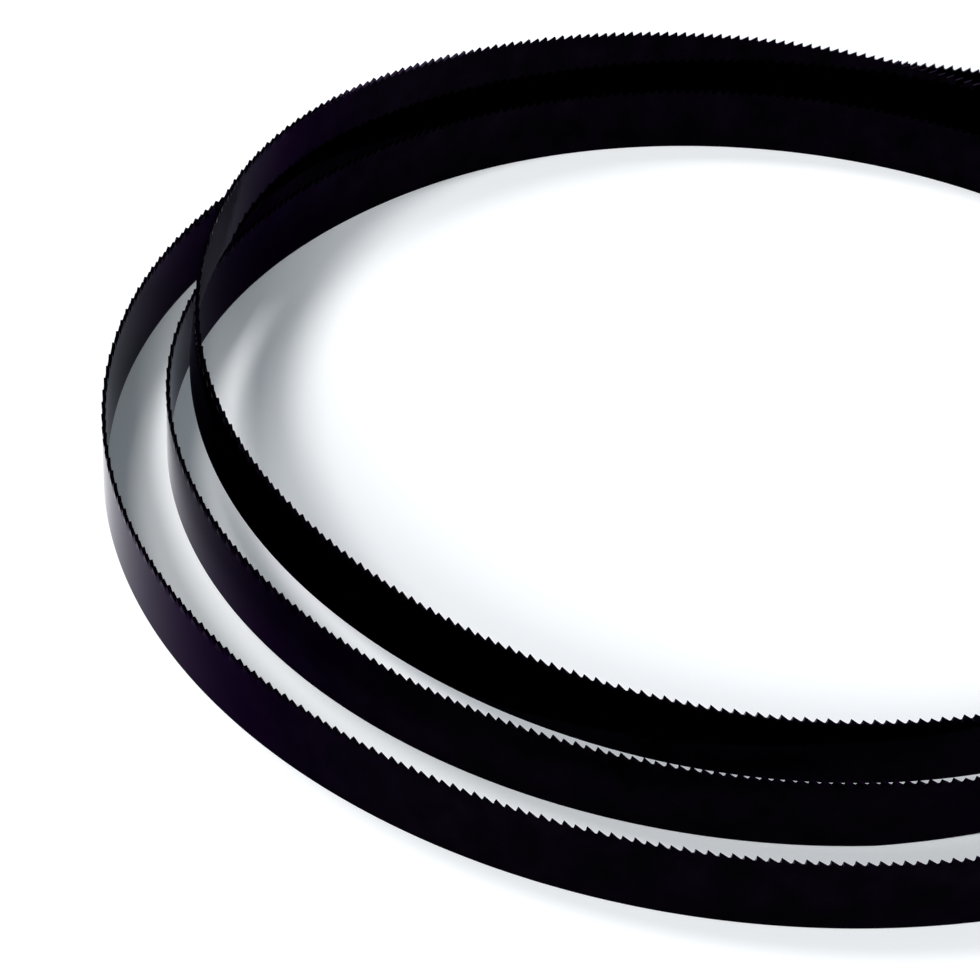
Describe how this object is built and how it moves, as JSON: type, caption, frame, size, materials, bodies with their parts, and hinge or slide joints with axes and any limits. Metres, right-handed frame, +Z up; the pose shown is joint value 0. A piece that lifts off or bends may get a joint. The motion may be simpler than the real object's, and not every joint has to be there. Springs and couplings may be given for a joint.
{
  "type": "band saw blade",
  "caption": "Welded loop of narrow toothed steel band, folded into a flat coil that lies on its back edge with the alternately set teeth up.",
  "frame": {"origin": "on the floor, under the middle of the coil's bounding box", "axes": "+Z up through the teeth, -Y towards the side where the three turns stand furthest apart, +X to the right of it"},
  "size_m": [0.233, 0.2388, 0.0268],
  "materials": {
    "band_steel": "dark blued spring steel with a satin sheen"
  },
  "bodies": {
    "root": {"blade": "band_steel"}
  },
  "joints": []
}
